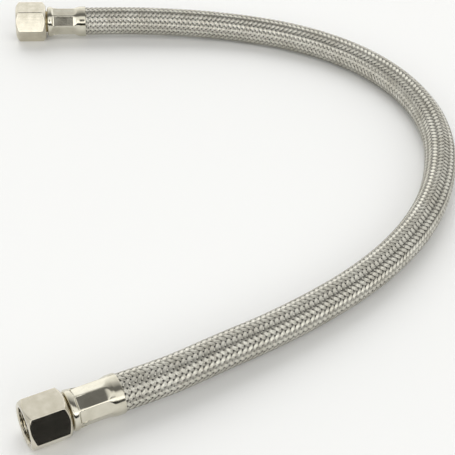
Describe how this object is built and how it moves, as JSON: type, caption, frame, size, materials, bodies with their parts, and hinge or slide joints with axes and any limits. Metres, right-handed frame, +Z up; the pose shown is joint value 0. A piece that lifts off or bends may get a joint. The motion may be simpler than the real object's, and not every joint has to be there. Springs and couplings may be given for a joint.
{
  "type": "flexible hose",
  "caption": "Flexible connecting hose with a woven wire braid over a rubber tube, crimped ferrules and a swivelling hexagon union nut at each end.",
  "frame": {"origin": "middle of the hose's rectangle on the floor, on the floor", "axes": "+X along the far fitting's axis from its nut towards the hose, +Y from the near fitting to the far one, +Z up"},
  "size_m": [0.3799, 0.5164, 0.032],
  "materials": {
    "liner_rubber": "matt black rubber",
    "braid_wire": "bright drawn stainless steel wire, woven",
    "nut_plating": "satin nickel plating on brass",
    "tail_brass": "turned brass",
    "ferrule_steel": "polished stainless steel",
    "seal_rubber": "matt black rubber"
  },
  "bodies": {
    "hose": {"rubber_liner": "liner_rubber", "wire_braid": "braid_wire", "far_sealing_washer": "seal_rubber", "far_barbed_tail": "tail_brass", "far_ferrule": "ferrule_steel", "near_sealing_washer": "seal_rubber", "near_barbed_tail": "tail_brass", "near_ferrule": "ferrule_steel"},
    "far_nut": {"far_union_nut": "nut_plating"},
    "near_nut": {"near_union_nut": "nut_plating"}
  },
  "joints": [
    {"name": "far_nut_swivel", "type": "hinge", "parent": "hose", "child": "far_nut", "pos_m": [-0.176, 0.2397, 0.016], "axis": [1, 0, 0], "continuous": true},
    {"name": "near_nut_swivel", "type": "hinge", "parent": "hose", "child": "near_nut", "pos_m": [-0.15447, -0.23697, 0.016], "axis": [0.9315, 0.3637, 0], "continuous": true}
  ]
}
